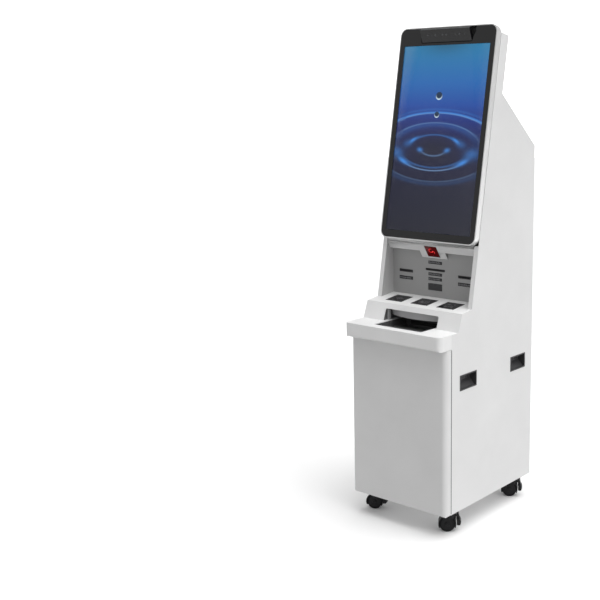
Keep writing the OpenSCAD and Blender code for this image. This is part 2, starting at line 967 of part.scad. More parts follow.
module rear_door() {
    bottom = rear_sill_h + 0.5;
    top = rear_h - 2 * sheet - 0.5;
    half = in_w - 2.5;
    vent = [110, 5];
    color(white_paint)
        difference() {
            union() {
                difference() {
                    span([-half, body_d - rear_door_t, bottom], [half, body_d, top]);
                    span([-half + sheet, body_d - rear_door_t - cut, bottom + sheet],
                         [half - sheet, body_d - sheet, top - sheet]);
                }
                for (z = [bottom, top - 6])
                    span([rear_pivot[0] - 8, body_d - 9, z], [half, body_d, z + 6]);
            }
            translate([rear_pivot[0], d(rear_pivot[1]), bottom - cut])
                cylinder(r = rear_pivot_r + run, h = 14, $fn = 48);
            translate([rear_pivot[0], d(rear_pivot[1]), top - 9])
                cylinder(r = rear_pivot_r + run, h = 20, $fn = 48);
            for (k = [0:9], x = [-90, 90], z0 = [240, 1280])
                span([x - vent[0] / 2, body_d - 5, z0 + 12 * k],
                     [x + vent[0] / 2, body_d + cut, z0 + 12 * k + vent[1]]);
            translate([rear_lock_x, d(body_d - 10), rear_lock_z])
                rotate([-90, 0, 0])
                    cylinder(r = lock_plug_r + run, h = 20, $fn = 48);
        }
}

// Flush quarter-turn lock; its cam points down at rest and turns in behind the keeper
module rear_lock() {
    cam_d = upright_d[1] + tube + 1;
    color(zinc)
        difference() {
            union() {
                translate([rear_lock_x, d(cam_d), rear_lock_z])
                    rotate([-90, 0, 0])
                        cylinder(r = lock_plug_r, h = body_d - 0.5 - cam_d, $fn = 48);
                translate([rear_lock_x, d(body_d - sheet - 3.3), rear_lock_z])
                    rotate([-90, 0, 0])
                        cylinder(r = 9, h = 3, $fn = 48);
                span([rear_lock_x - 5, cam_d, rear_lock_z - 20],
                     [rear_lock_x + 5, cam_d + 2.5, rear_lock_z + 6]);
            }
            span([rear_lock_x - 0.8, body_d - 8, rear_lock_z - 4],
                 [rear_lock_x + 0.8, body_d + cut, rear_lock_z + 4]);
        }
}

// ---------------------------------------------------------------- internal modules

module note_acceptor() {
    mouth = [88, 6];
    color(dark_grey)
        difference() {
            union() {
                span([-52, fascia_d + sheet + 4.2, note_z - 18], [52, 330, note_z + 22]);
                span([-46, 270, note_z - 78], [46, 330, note_z - 18]);
            }
            span([-mouth[0] / 2, fascia_d, note_z - mouth[1] / 2],
                 [mouth[0] / 2, 300, note_z + mouth[1] / 2]);
        }
}

module cash_dispenser() {
    outlet_z = 754;
    color(dark_grey)
        difference() {
            union() {
                span([-118, 226, 546], [118, 520, 700]);
                // Neck up to the tray's outlet
                across_x(196)
                    side_view([[206, 735], [206, 768], [226, 768], [300, 700], [226, 700]]);
            }
            span([-88, 200, outlet_z - 7], [88, 216, outlet_z + 7]);
            for (k = [0:3])
                span([-119, 250 + k * 66, 560], [-114, 300 + k * 66, 686]);
            for (k = [0:3])
                span([114, 250 + k * 66, 560], [119, 300 + k * 66, 686]);
        }
}

module cassette_rack() {
    foot = body_z + sheet;
    wall = 3;
    color(zinc)
        difference() {
            span([-rack_half, rack_front, foot], [rack_half, rack_back, rack_top]);
            for (k = [0:cassette_count - 1])
                span([-rack_half + wall, rack_front - cut, foot + wall + k * (cassette_h + 8)],
                     [rack_half - wall, rack_back - wall,
                      foot + wall + k * (cassette_h + 8) + cassette_h + 3]);
        }
}

module cash_cassettes() {
    foot = body_z + sheet + 3;
    color([0.32, 0.34, 0.36])
        for (k = [0:cassette_count - 1])
            translate([0, 0, foot + k * (cassette_h + 8)])
                difference() {
                    span([-104, rack_front + 4, 0], [104, rack_back - 20, cassette_h]);
                    // Carrying handle recess in the front end
                    span([-60, rack_front, 40], [60, rack_front + 24, 78]);
                    span([-60, rack_front + 16, 40], [60, rack_front + 30, 88]);
                }
}

module receipt_printer() {
    x0 = -slot_x - 38;
    x1 = -slot_x + 38;
    color(dark_grey)
        difference() {
            union() {
                span([x0, fascia_d + sheet + 4.2, 915], [x1, 300, 985]);
                // Cheeks that carry the paper spindle
                for (x = [x0, x1 - 4])
                    span([x, 300, 935], [x + 4, roll_d + 12, 965]);
                x_rod(spindle_r, x0 + 2, x1 - 2, roll_d, roll_z);
            }
            span([-slot_x - 30, fascia_d, slot_z - 3], [-slot_x + 30, 260, slot_z + 3]);
        }
}

module paper_roll() {
    color([0.95, 0.95, 0.93])
        difference() {
            x_rod(roll_r, -slot_x - 29, -slot_x + 29, roll_d, roll_z, 96);
            x_rod(spindle_r + run, -slot_x - 40, -slot_x + 40, roll_d, roll_z);
        }
}

module card_reader() {
    color(dark_grey)
        difference() {
            span([slot_x - 36, fascia_d + sheet + 4.2, 925], [slot_x + 36, 400, 972]);
            span([slot_x - 28.5, fascia_d, slot_z - 3], [slot_x + 28.5, 320, slot_z + 3]);
        }
}

module main_computer() {
    color(black_plastic)
        difference() {
            span([-70, 456, 1070], [180, upright_d[1], 1330]);
            for (k = [0:11])
                span([-50 + k * 18, 455, 1110], [-42 + k * 18, 462, 1290]);
        }
}

module power_supply() {
    color(zinc)
        difference() {
            span([-190, 466, 1085], [-85, upright_d[1], 1320]);
            for (k = [0:7])
                span([-176, 465, 1110 + k * 24], [-100, 472, 1120 + k * 24]);
        }
}

// Mains inlet, and beside it the body of the mains switch with the pin its rocker turns on
module power_inlet() {
    color(black_plastic) {
        difference() {
            span([-170, body_d - 24, 112], [-122, body_d - 0.5, 140]);
            span([-158, body_d - 17, 117], [-134, body_d + cut, 135]);
        }
        difference() {
            span([-110, body_d - 24, 115], [-88, body_d - 0.5, 137]);
            span([-108, body_d - 20, 116], [-90, body_d + cut, 136]);
        }
        x_rod(2, -109, -89, switch_at[0], switch_at[1], 32);
    }
    color(zinc)
        for (x = [-152, -146, -140])
            span([x - 1, body_d - 18, 121], [x + 1, body_d - 9, 131]);
}

// Rocker of the mains switch
module power_switch() {
    r = 8.5;
    flat_d = switch_at[0] + r - 1.5;
    color(black_plastic)
        difference() {
            x_rod(r, -107.5, -90.5, switch_at[0], switch_at[1]);
            x_rod(2 + run, -112, -85, switch_at[0], switch_at[1], 32);
            span([-112, flat_d, 100], [-85, body_d + 5, 150]);
            span([-112, flat_d - 2, 100], [-85, body_d + 5, switch_at[1] - 4]);
        }
}

module exhaust_fan() {
    color(black_plastic)
        on_slope()
            translate([-fan_size / 2, fan_along - fan_size / 2, -sheet - fan_t])
                difference() {
                    cube([fan_size, fan_size, fan_t]);
                    translate([fan_size / 2, fan_size / 2, -cut])
                        cylinder(r = 56, h = fan_t - 4, $fn = 96);
                    translate([fan_size / 2, fan_size / 2, -cut])
                        difference() {
                            cylinder(r = 56, h = fan_t + 2 * cut, $fn = 96);
                            cylinder(r = 18, h = fan_t + 2 * cut, $fn = 48);
                            for (a = [45, 135])
                                rotate([0, 0, a])
                                    translate([-60, -3, 0])
                                        cube([120, 6, fan_t + 2 * cut]);
                        }
                    translate([fan_size / 2, fan_size / 2, -cut])
                        cylinder(r = 2.5 + run, h = fan_t - 1, $fn = 32);
                }
}

module fan_impeller() {
    blades = 7;
    color(dark_grey)
        on_slope()
            translate([0, fan_along, -sheet - fan_t + 1])
                union() {
                    cylinder(r = 17, h = 18, $fn = 64);
                    cylinder(r = 2.5, h = 21.5, $fn = 32);
                    for (k = [0:blades - 1])
                        rotate([0, 0, k * 360 / blades])
                            translate([34, 0, 9])
                                rotate([32, 0, 0])
                                    cube([40, 24, 1.6], center = true);
                }
}

// ---------------------------------------------------------------- casters

module caster_plates() {
    color(black_plastic)
        for (i = [0:3])
            translate([(i % 2 == 0 ? -1 : 1) * caster_x, d(caster_d[floor(i / 2)]), 0])
                difference() {
                    union() {
                        block([plate_size[0], plate_size[1], plate_t],
                              [-plate_size[0] / 2, -plate_size[1] / 2, body_z - plate_t]);
                        translate([0, 0, body_z - plate_t - 4])
                            cylinder(r = 23, h = 4, $fn = 64);
                        translate([0, 0, body_z - 24])
                            cylinder(r = kingpin_r, h = 20, $fn = 48);
                    }
                    for (bx = [-1, 1], by = [-1, 1])
                        translate([bx * bolt_half[0], by * bolt_half[1], body_z - plate_t - 6])
                            cylinder(r = 3.2, h = plate_t + 12, $fn = 32);
                }
}

module caster_bolts() {
    color(zinc)
        for (i = [0:3], bx = [-1, 1], by = [-1, 1])
                translate([(i % 2 == 0 ? -1 : 1) * caster_x + bx * bolt_half[0],
                       d(caster_d[floor(i / 2)]) + by * bolt_half[1], 0]) {
                translate([0, 0, body_z - plate_t - 4])
                    cylinder(r = 5.2, h = 4, $fn = 6);
                translate([0, 0, body_z - plate_t - 1])
                    cylinder(r = 3, h = plate_t + sheet + 7, $fn = 32);
                translate([0, 0, body_z + sheet])
                    cylinder(r = 5.5, h = 5, $fn = 6);
            }
}

// A rod along the caster's axle direction
module y_rod(r, half, at, facets = 48) {
    translate([at[0], half, at[1]])
        rotate([90, 0, 0])
            cylinder(r = r, h = 2 * half, $fn = facets);
}

module caster_fork(i) {
    hub = [trail, wheel_r];
    half = wheel_gap / 2 + wheel_w;
    room = hood_r - hood_t;
    head_low = 50;
    head_top = body_z - plate_t - 4.4;
    ear = 14;
    color(black_plastic)
        at_caster(i) {
            difference() {
                union() {
                    y_rod(hood_r, half + 0.5, hub, 96);
                    translate([0, 0, head_low])
                        cylinder(r = 21, h = head_top - head_low, $fn = 64);
                    // Ears for the brake pedal's pin
                    for (s = [-1, 1])
                        translate([pedal_at[0], s * ear - 1.5, pedal_at[1]]) {
                            translate([0, 0, -4.5])
                                cube([15, 3, 9]);
                            translate([0, 3, 0])
                                rotate([90, 0, 0])
                                    cylinder(r = 4.5, h = 3, $fn = 32);
                        }
                }
                // Room for each wheel, and the open underside of the hood
                for (s = [-1, 1])
                    translate([0, s * (wheel_gap / 2 + wheel_w / 2), 0])
                        y_rod(room, wheel_w / 2 + 0.5, hub, 96);
                translate([trail - 60, -60, -5])
                    cube([120, 120, wheel_r - 9]);
                translate([0, 0, 67])
                    cylinder(r = kingpin_r + run, h = 40, $fn = 48);
                y_rod(pedal_pin_r + run, ear + 5, pedal_at, 32);
            }
            // Axle with a cap at each end
            y_rod(axle_r, half + 2, hub);
            for (s = [-1, 1])
                translate([0, s * (half + 1.5), 0])
                    y_rod(8, 1, hub);
        }
}

module wheels(i) {
    color([0.10, 0.10, 0.10])
        at_caster(i)
            for (s = [-1, 1])
                translate([trail, s * (wheel_gap / 2 + wheel_w / 2), wheel_r])
                    rotate([90, 0, 0])
                        rotate_extrude($fn = 96)
                            polygon([[axle_r + run, -wheel_w / 2], [10, -wheel_w / 2],
                                     [12, -wheel_w / 2 + 3], [24, -wheel_w / 2 + 3],
                                     [26, -wheel_w / 2], [wheel_r - 3, -wheel_w / 2],
                                     [wheel_r, -wheel_w / 2 + 3], [wheel_r, wheel_w / 2 - 3],
                                     [wheel_r - 3, wheel_w / 2], [26, wheel_w / 2],
                                     [24, wheel_w / 2 - 3], [12, wheel_w / 2 - 3],
                                     [10, wheel_w / 2], [axle_r + run, wheel_w / 2]]);
}

// Brake pedal, hanging beside the hood at rest; its foot swings out to release the wheels
module brake_pedal(i) {
    half = 12.2;
    foot = 18;
    color(black_plastic)
        at_caster(i) {
            y_rod(pedal_pin_r, half + 3.2, pedal_at, 32);
            y_rod(4.6, half, pedal_at);
            translate([pedal_at[0], 0, pedal_at[1]])
                rotate([90, 0, 0]) {
                    linear_extrude(2 * half - 2, center = true)
                        polygon([[4.4, 0], [-4.4, 0], [-6, -8], [-9, -20], [4.4, -20]]);
                    linear_extrude(2 * foot, center = true)
                        polygon([[3, -16], [-8.5, -16], [-11.5, -22], [-12, -33], [-9, -39],
                                 [-1, -40], [3, -37]]);
                }
        }
}

module caster_fork_fl() { caster_fork(0); }
module caster_fork_fr() { caster_fork(1); }
module caster_fork_rl() { caster_fork(2); }
module caster_fork_rr() { caster_fork(3); }
module wheels_fl() { wheels(0); }
module wheels_fr() { wheels(1); }
module wheels_rl() { wheels(2); }
module wheels_rr() { wheels(3); }
module brake_pedal_fl() { brake_pedal(0); }
module brake_pedal_fr() { brake_pedal(1); }
module brake_pedal_rl() { brake_pedal(2); }
module brake_pedal_rr() { brake_pedal(3); }

// ---------------------------------------------------------------- assembly
base_plate();
inner_frame();
left_side_panel();
right_side_panel();
upper_rear_cover();
side_cheeks();
header_beam();
scanner_window();
fascia_panel();
note_slot_bezel();
receipt_slot_bezel();
card_slot_bezel();
indicator_windows();
console_cover();
tap_reader_window();
id_reader_window();
code_reader_window();
reader_modules();
tray_liner();
tray_guard();
display_frame();
display_glass();
lcd_panel();
display_backplate();
handle_cups();
side_lock_barrel();
caster_plates();
caster_bolts();
note_acceptor();
cash_dispenser();
cassette_rack();
cash_cassettes();
receipt_printer();
paper_roll();
card_reader();
main_computer();
power_supply();
power_inlet();
exhaust_fan();
fan_impeller();
power_switch();
front_door();
door_pivot_pins();
rear_door();
rear_lock();
side_lock_plug();
camera_bar();
camera_lenses();
caster_fork_fl();
caster_fork_fr();
caster_fork_rl();
caster_fork_rr();
wheels_fl();
wheels_fr();
wheels_rl();
wheels_rr();
brake_pedal_fl();
brake_pedal_fr();
brake_pedal_rl();
brake_pedal_rr();
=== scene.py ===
"""Looks for the self-service cash terminal: materials, small visual pieces, light and camera."""

import json
import math

import bmesh
import bpy
from mathutils import Matrix, Vector


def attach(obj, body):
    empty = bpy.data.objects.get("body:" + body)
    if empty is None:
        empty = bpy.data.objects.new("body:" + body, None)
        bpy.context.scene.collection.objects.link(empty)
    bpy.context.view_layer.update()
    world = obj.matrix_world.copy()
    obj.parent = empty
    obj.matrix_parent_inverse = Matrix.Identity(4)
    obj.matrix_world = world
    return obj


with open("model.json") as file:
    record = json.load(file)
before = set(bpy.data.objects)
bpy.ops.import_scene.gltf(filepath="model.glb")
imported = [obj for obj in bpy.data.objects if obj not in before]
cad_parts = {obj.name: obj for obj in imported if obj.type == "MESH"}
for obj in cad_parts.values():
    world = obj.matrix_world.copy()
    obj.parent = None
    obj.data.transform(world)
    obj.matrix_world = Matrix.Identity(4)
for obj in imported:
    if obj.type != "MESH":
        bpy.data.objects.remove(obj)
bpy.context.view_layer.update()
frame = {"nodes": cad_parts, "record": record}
NODES = frame["nodes"]

MM = 0.001
DOOR_Y = -273.5          # y of the front door's face, mm
SIDE_X = 226.5           # outer faces of the side panels, mm either side of the middle
WINDOW_D = 236.2         # depth of the indicator windows' faces, mm
LEAN_DEG = 10            # how far the display and the fascia lean back
LEAN = math.radians(LEAN_DEG)
GLASS_FOOT = 1080        # height where the display's own frame starts, mm
GLASS_PROUD = 26         # how far the glass stands before the leaning front plane, mm
HEADER_Z = 1063          # height of the header beam's face, mm
HEADER_FALL = (0.555, -0.832)        # which way that face runs, back and down
LIT_WIDE, LIT_TALL = 0.3985, 0.708   # the panel's lit area, m
LIT_FOOT = 0.029         # its lower edge, up the glass from the display's foot, m
NICHE_SHADE_HALF = 0.2074      # the cheeks' niche sides, grey with painted shade, lie nearer the middle than this, m


# ------------------------------------------------------------------ placing

def front_plane_d(z):
    """Depth of the leaning front plane at height z, mm."""
    return 160 + (z - 841) * math.tan(LEAN)


def at(x, d, z):
    """A point given in mm as across, depth behind the door's face, height."""
    return Vector((x, DOOR_Y + d, z)) * MM


def tilted(x, d, z, angle_deg):
    """A frame at a point, turned about X."""
    return Matrix.Translation(at(x, d, z)) @ Matrix.Rotation(math.radians(angle_deg), 4, "X")


# The display: x across, y into the screen from the glass's face, z up along the glass
DISPLAY = (tilted(0, front_plane_d(GLASS_FOOT), GLASS_FOOT, -LEAN_DEG)
           @ Matrix.Translation((0, -GLASS_PROUD * MM, 0)))
# The reader shelf: y up the slope, z out of it
SHELF = tilted(0, 99, 841, 6)
# The header beam's face: y down the face, z into the cabinet
HEADER = tilted(0, front_plane_d(HEADER_Z), HEADER_Z,
                math.degrees(math.atan2(HEADER_FALL[1], HEADER_FALL[0])))
# The machine's own frame, with depths measured from the door's face
FROM_DOOR = Matrix.Translation((0, DOOR_Y * MM, 0))
HERE = Matrix.Identity(4)


# ------------------------------------------------------------------ materials

def new_material(name):
    m = bpy.data.materials.new(name)
    m.use_nodes = True
    return m, m.node_tree.nodes, m.node_tree.links, m.node_tree.nodes["Principled BSDF"]


def put(bsdf, **values):
    for key, value in values.items():
        socket = bsdf.inputs[key.replace("_", " ").title().replace("Ior", "IOR")]
        socket.default_value = value


def grey(v):
    return (v, v, v, 1)


class Maths:
    """Writes shader maths as calls."""

    def __init__(self, tree):
        self.tree = tree

    def __call__(self, operation, *inputs, clamp=False):
        node = self.tree.nodes.new("ShaderNodeMath")
        node.operation = operation
        node.use_clamp = clamp
        for k, value in enumerate(inputs):
            if isinstance(value, (int, float)):
                node.inputs[k].default_value = value
            else:
                self.tree.links.new(value, node.inputs[k])
        return node.outputs[0]


def object_noise(nodes, links, scale, detail=3.0, roughness=0.5):
    coords = nodes.new("ShaderNodeTexCoord")
    noise = nodes.new("ShaderNodeTexNoise")
    noise.inputs["Scale"].default_value = scale
    noise.inputs["Detail"].default_value = detail
    noise.inputs["Roughness"].default_value = roughness
    links.new(coords.outputs["Object"], noise.inputs["Vector"])
    return noise.outputs["Fac"]


def ramp(nodes, links, source, stops):
    node = nodes.new("ShaderNodeValToRGB")
    points = node.color_ramp.elements
    while len(points) < len(stops):
        points.new(0.5)
    for point, (place, colour) in zip(points, stops):
        point.position = place
        point.color = colour
    links.new(source, node.inputs["Fac"])
    return node.outputs["Color"]


def finish_material(name, colour, rough, rough_spread=0.06, tone=0.03, grain=900.0, bump=0.06,
                    metallic=0.0, coat=0.0, specular=0.5):
    """A painted or moulded surface: fine grain in the bump, slow drift in tone and roughness."""
    m, nodes, links, bsdf = new_material(name)
    slow = object_noise(nodes, links, 6.0, 4.0)
    fine = object_noise(nodes, links, grain, 2.0)
    lo = tuple(c * (1 - tone) for c in colour) + (1,)
    hi = tuple(min(1, c * (1 + tone)) for c in colour) + (1,)
    links.new(ramp(nodes, links, slow, [(0.3, lo), (0.7, hi)]), bsdf.inputs["Base Color"])
    smoother, rougher = grey(rough - rough_spread), grey(rough + rough_spread)
    links.new(ramp(nodes, links, slow, [(0.3, smoother), (0.7, rougher)]),
              bsdf.inputs["Roughness"])
    bump_node = nodes.new("ShaderNodeBump")
    bump_node.inputs["Strength"].default_value = bump
    bump_node.inputs["Distance"].default_value = 0.0004
    links.new(fine, bump_node.inputs["Height"])
    links.new(bump_node.outputs["Normal"], bsdf.inputs["Normal"])
    put(bsdf, metallic=metallic, coat_weight=coat, specular_ior_level=specular)
    return m


def plain(name, colour, rough, metallic=0.0, emission=0.0):
    m, nodes, links, bsdf = new_material(name)
    put(bsdf, base_color=(*colour, 1), roughness=rough, metallic=metallic)
    if emission:
        put(bsdf, emission_color=(*colour, 1), emission_strength=emission)
    return m


WHITE = finish_material("white powder coat", (0.74, 0.74, 0.74), 0.50, bump=0.10)
# the door's paint is the white made a touch darker: painted shade of the front door
DOOR = finish_material("door powder coat darkened as painted shade", (0.72, 0.72, 0.72), 0.50, bump=0.10)
FASCIA = finish_material("fascia powder coat", (0.34, 0.34, 0.34), 0.55, bump=0.12)
MOULD = finish_material("white moulding", (0.80, 0.80, 0.80), 0.42, bump=0.04, grain=1400)
TRIM = finish_material("display trim", (0.80, 0.80, 0.80), 0.34, bump=0.04, metallic=0.75)
BLACK = finish_material("black plastic", (0.018, 0.018, 0.019), 0.48, bump=0.15)
HANDLE = finish_material("handle plastic", (0.035, 0.035, 0.037), 0.42, bump=0.2)
TRAY = finish_material("tray plastic", (0.100, 0.100, 0.102), 0.30, bump=0.10)
GUARD = finish_material("guard plastic", (0.44, 0.44, 0.445), 0.34, bump=0.06)
WINDOW = finish_material("window plastic", (0.010, 0.010, 0.012), 0.14, 0.04,
                         bump=0.01, specular=0.28)
NYLON = finish_material("caster nylon", (0.005, 0.005, 0.006), 0.42,
                        bump=0.25, specular=0.25)
TREAD = finish_material("caster tread", (0.008, 0.008, 0.009), 0.55, 0.1,
                        bump=0.3, specular=0.25)
CASING = finish_material("module casing", (0.06, 0.062, 0.066), 0.5, bump=0.2)
CASSETTE = finish_material("cassette plastic", (0.13, 0.15, 0.17), 0.45, bump=0.2)
PAPER = finish_material("paper", (0.86, 0.86, 0.82), 0.8, bump=0.1)
STEEL_PAINT = finish_material("caster steel", (0.008, 0.008, 0.009), 0.4,
                              bump=0.1, specular=0.3)
BAR = finish_material("camera bar plastic", (0.006, 0.006, 0.007), 0.22, 0.04,
                      bump=0.03, specular=0.35)
LENS = plain("lens glass", (0.060, 0.064, 0.072), 0.12)
INK = plain("print", (0.36, 0.37, 0.38), 0.5)
INK_DIM = plain("dim print", (0.10, 0.10, 0.105), 0.4)
RED_GLOW = plain("red glow", (0.9, 0.02, 0.02), 0.4, emission=0.8)
GREEN_GLOW = plain("green glow", (0.05, 0.7, 0.15), 0.4, emission=0.6)
DUCT = plain("cable duct", (0.33, 0.34, 0.35), 0.55)
BOARD = plain("circuit board", (0.01, 0.09, 0.035), 0.35)
# dark grey strips on the side panels' front edges: painted shade of the door seam
SEAM_SHADE = plain("grey painted seam shade", (0.13, 0.13, 0.13), 0.6)
EARTH = plain("earth wire", (0.45, 0.42, 0.03), 0.45)
RUBBER = finish_material("rubber", (0.02, 0.02, 0.02), 0.7, bump=0.2)


def zinc_material():
    m, nodes, links, bsdf = new_material("zinc steel")
    coords = nodes.new("ShaderNodeTexCoord")
    cells = nodes.new("ShaderNodeTexVoronoi")
    cells.inputs["Scale"].default_value = 90
    links.new(coords.outputs["Object"], cells.inputs["Vector"])
    links.new(ramp(nodes, links, cells.outputs["Distance"],
                   [(0.0, grey(0.44)), (1.0, grey(0.50))]), bsdf.inputs["Base Color"])
    links.new(ramp(nodes, links, cells.outputs["Distance"],
                   [(0.0, grey(0.34)), (1.0, grey(0.40))]), bsdf.inputs["Roughness"])
    put(bsdf, metallic=1.0)
    return m


ZINC = zinc_material()
SCANNER = finish_material("scanner filter", (0.13, 0.003, 0.004), 0.12, 0.02,
                          bump=0.0, specular=0.35)


def split_coords(nodes, links):
    """The piece's own coordinates in metres, split into X, Y and Z."""
    coords = nodes.new("ShaderNodeTexCoord")
    split = nodes.new("ShaderNodeSeparateXYZ")
    links.new(coords.outputs["Object"], split.inputs[0])
    return split


def up_the_glass(calc, split):
    """How far a point lies up the glass from the display's foot, in metres."""
    foot = DISPLAY.translation
    return calc("ADD",
                calc("MULTIPLY", calc("SUBTRACT", split.outputs["Y"], foot.y), math.sin(LEAN)),
                calc("MULTIPLY", calc("SUBTRACT", split.outputs["Z"], foot.z), math.cos(LEAN)))


def cheek_shade_material():
    """White paint, made grey on the niche side of the cheeks as painted shade of the niche."""
    m = finish_material("cheek paint with painted niche shade", (0.74, 0.74, 0.74), 0.50, bump=0.10)
    nodes, links = m.node_tree.nodes, m.node_tree.links
    base = nodes["Principled BSDF"].inputs["Base Color"]
    calc = Maths(m.node_tree)
    split = split_coords(nodes, links)
    mix = nodes.new("ShaderNodeMix")
    mix.data_type = "RGBA"
    links.new(base.links[0].from_socket, mix.inputs["A"])
    # painted shade: the niche side of the cheeks is mixed to grey
    mix.inputs["B"].default_value = grey(0.42)
    inside = calc("LESS_THAN", calc("ABSOLUTE", split.outputs["X"]), NICHE_SHADE_HALF)
    links.new(inside, mix.inputs["Factor"])
    links.new(mix.outputs["Result"], base)
    return m


def glass_material():
    """Gloss black border printed behind clear glass over the lit area."""
    m, nodes, links, bsdf = new_material("display glass")
    calc = Maths(m.node_tree)
    split = split_coords(nodes, links)
    up = up_the_glass(calc, split)
    lit = calc("MULTIPLY",
               calc("LESS_THAN", calc("ABSOLUTE", split.outputs["X"]), LIT_WIDE / 2),
               calc("MULTIPLY", calc("GREATER_THAN", up, LIT_FOOT),
                    calc("LESS_THAN", up, LIT_FOOT + LIT_TALL)))
    put(bsdf, base_color=(0.006, 0.006, 0.007, 1), roughness=0.06, coat_weight=0.3)
    clear = nodes.new("ShaderNodeBsdfTransparent")
    shine = nodes.new("ShaderNodeBsdfGlossy")
    shine.inputs["Roughness"].default_value = 0.04
    fresnel = nodes.new("ShaderNodeFresnel")
    fresnel.inputs["IOR"].default_value = 1.45
    pane = nodes.new("ShaderNodeMixShader")
    links.new(fresnel.outputs[0], pane.inputs[0])
    links.new(clear.outputs[0], pane.inputs[1])
    links.new(shine.outputs[0], pane.inputs[2])
    whole = nodes.new("ShaderNodeMixShader")
    links.new(lit, whole.inputs[0])
    links.new(bsdf.outputs[0], whole.inputs[1])
    links.new(pane.outputs[0], whole.inputs[2])
    links.new(whole.outputs[0], nodes["Material Output"].inputs["Surface"])
    return m


def screen_material():
    """Lit panel showing drops falling on water, with rings spreading from them."""
    m, nodes, links, bsdf = new_material("screen")
    calc = Maths(m.node_tree)
    split = split_coords(nodes, links)
    up = up_the_glass(calc, split)
    v = calc("DIVIDE", calc("SUBTRACT", up, LIT_FOOT), LIT_TALL, clamp=True)
    u = calc("DIVIDE", split.outputs["X"], LIT_WIDE)
    picture = ramp(nodes, links, v, [
        (0.00, (0.009, 0.010, 0.022, 1)), (0.24, (0.009, 0.010, 0.030, 1)),
        (0.38, (0.009, 0.011, 0.045, 1)), (0.50, (0.010, 0.014, 0.085, 1)),
        (0.60, (0.012, 0.030, 0.19, 1)), (0.68, (0.014, 0.070, 0.34, 1)),
        (0.80, (0.016, 0.130, 0.42, 1)), (1.00, (0.020, 0.200, 0.40, 1))])

    def blend_in(below, factor, colour):
        node = nodes.new("ShaderNodeMix")
        node.data_type = "RGBA"
        node.inputs["B"].default_value = colour
        links.new(below, node.inputs["A"])
        links.new(factor, node.inputs["Factor"])
        return node.outputs["Result"]

    def bump(value, middle, width):
        """A soft peak, 1 where value is middle."""
        off = calc("DIVIDE", calc("SUBTRACT", value, middle), width)
        return calc("EXPONENT", calc("MULTIPLY", calc("MULTIPLY", off, off), -1.0))

    def length(a, b):
        return calc("SQRT", calc("ADD", calc("MULTIPLY", a, a), calc("MULTIPLY", b, b)))

    across = calc("ADD", u, 0.03)
    along = calc("MULTIPLY", calc("SUBTRACT", v, 0.45), 3.9)
    radius = length(across, along)
    far = calc("DIVIDE", along, calc("ADD", radius, 0.001))
    # Dark water inside the rings, and a painted shadow of the camera bar across the top of the
    # picture
    inner = calc("MULTIPLY", bump(radius, 0.0, 0.34), 0.8)
    picture = blend_in(picture, inner, (0.012, 0.013, 0.026, 1))
    # painted shadow of the camera bar: the top middle of the picture is darkened
    bar_shadow = calc("MULTIPLY", bump(v, 1.01, 0.055), bump(calc("ABSOLUTE", u), 0.0, 0.27))
    picture = blend_in(picture, calc("MULTIPLY", bar_shadow, 0.55), (0.010, 0.060, 0.10, 1))
    # Arcs of the rings: radius, width, place (1 far, 0 at the sides, -1 near), spread, strength
    blue, pale = (0.05, 0.26, 0.75, 1), (0.16, 0.30, 0.55, 1)
    for size, width, middle, spread, strength, colour in (
            (0.155, 0.016, -1.0, 0.55, 0.50, pale), (0.165, 0.030, -0.20, 0.26, 0.75, blue),
            (0.285, 0.016, 0.95, 0.40, 0.35, blue), (0.305, 0.022, 0.55, 0.20, 0.95, blue),
            (0.33, 0.05, 0.30, 0.25, 0.30, blue), (0.40, 0.016, -1.0, 0.45, 0.35, blue),
            (0.462, 0.012, -1.0, 0.32, 0.85, pale), (0.448, 0.034, -0.62, 0.17, 1.0, blue),
            (0.455, 0.07, -0.22, 0.24, 0.45, blue), (0.535, 0.013, 0.85, 0.50, 0.50, pale),
            (0.50, 0.05, 0.85, 0.60, 0.16, blue), (0.748, 0.020, 0.90, 0.55, 0.90, blue),
            (0.735, 0.010, 0.90, 0.45, 0.55, pale), (0.815, 0.022, 0.95, 0.40, 0.22, blue),
            (0.69, 0.012, -0.90, 0.50, 0.28, pale), (0.74, 0.04, -0.90, 0.50, 0.10, blue)):
        light = calc("MULTIPLY", bump(radius, size, width), bump(far, middle, spread))
        picture = blend_in(picture, calc("MULTIPLY", light, strength * 0.9), colour)
    # Two drops: dark above, with a bright crescent below
    for u0, v0, size in ((-0.027, 0.730, 0.0150), (-0.032, 0.630, 0.0115)):
        dx = calc("MULTIPLY", calc("SUBTRACT", u, u0), LIT_WIDE)
        dy = calc("MULTIPLY", calc("SUBTRACT", v, v0), LIT_TALL)
        away = length(dx, dy)
        inside = calc("LESS_THAN", away, size)
        picture = blend_in(picture, calc("MULTIPLY", inside, 0.92), (0.006, 0.022, 0.040, 1))
        from_top = length(dx, calc("SUBTRACT", dy, size * 0.35))
        crescent = calc("DIVIDE", calc("SUBTRACT", from_top, size * 0.85), size * 0.28, clamp=True)
        picture = blend_in(picture, calc("MULTIPLY", inside, crescent), (0.55, 0.70, 0.80, 1))
    links.new(picture, bsdf.inputs["Emission Color"])
    put(bsdf, base_color=(0.004, 0.005, 0.008, 1), roughness=0.3, emission_strength=1.0)
    return m


CHEEK_SHADE = cheek_shade_material()
SCREEN = screen_material()
GLASS = glass_material()

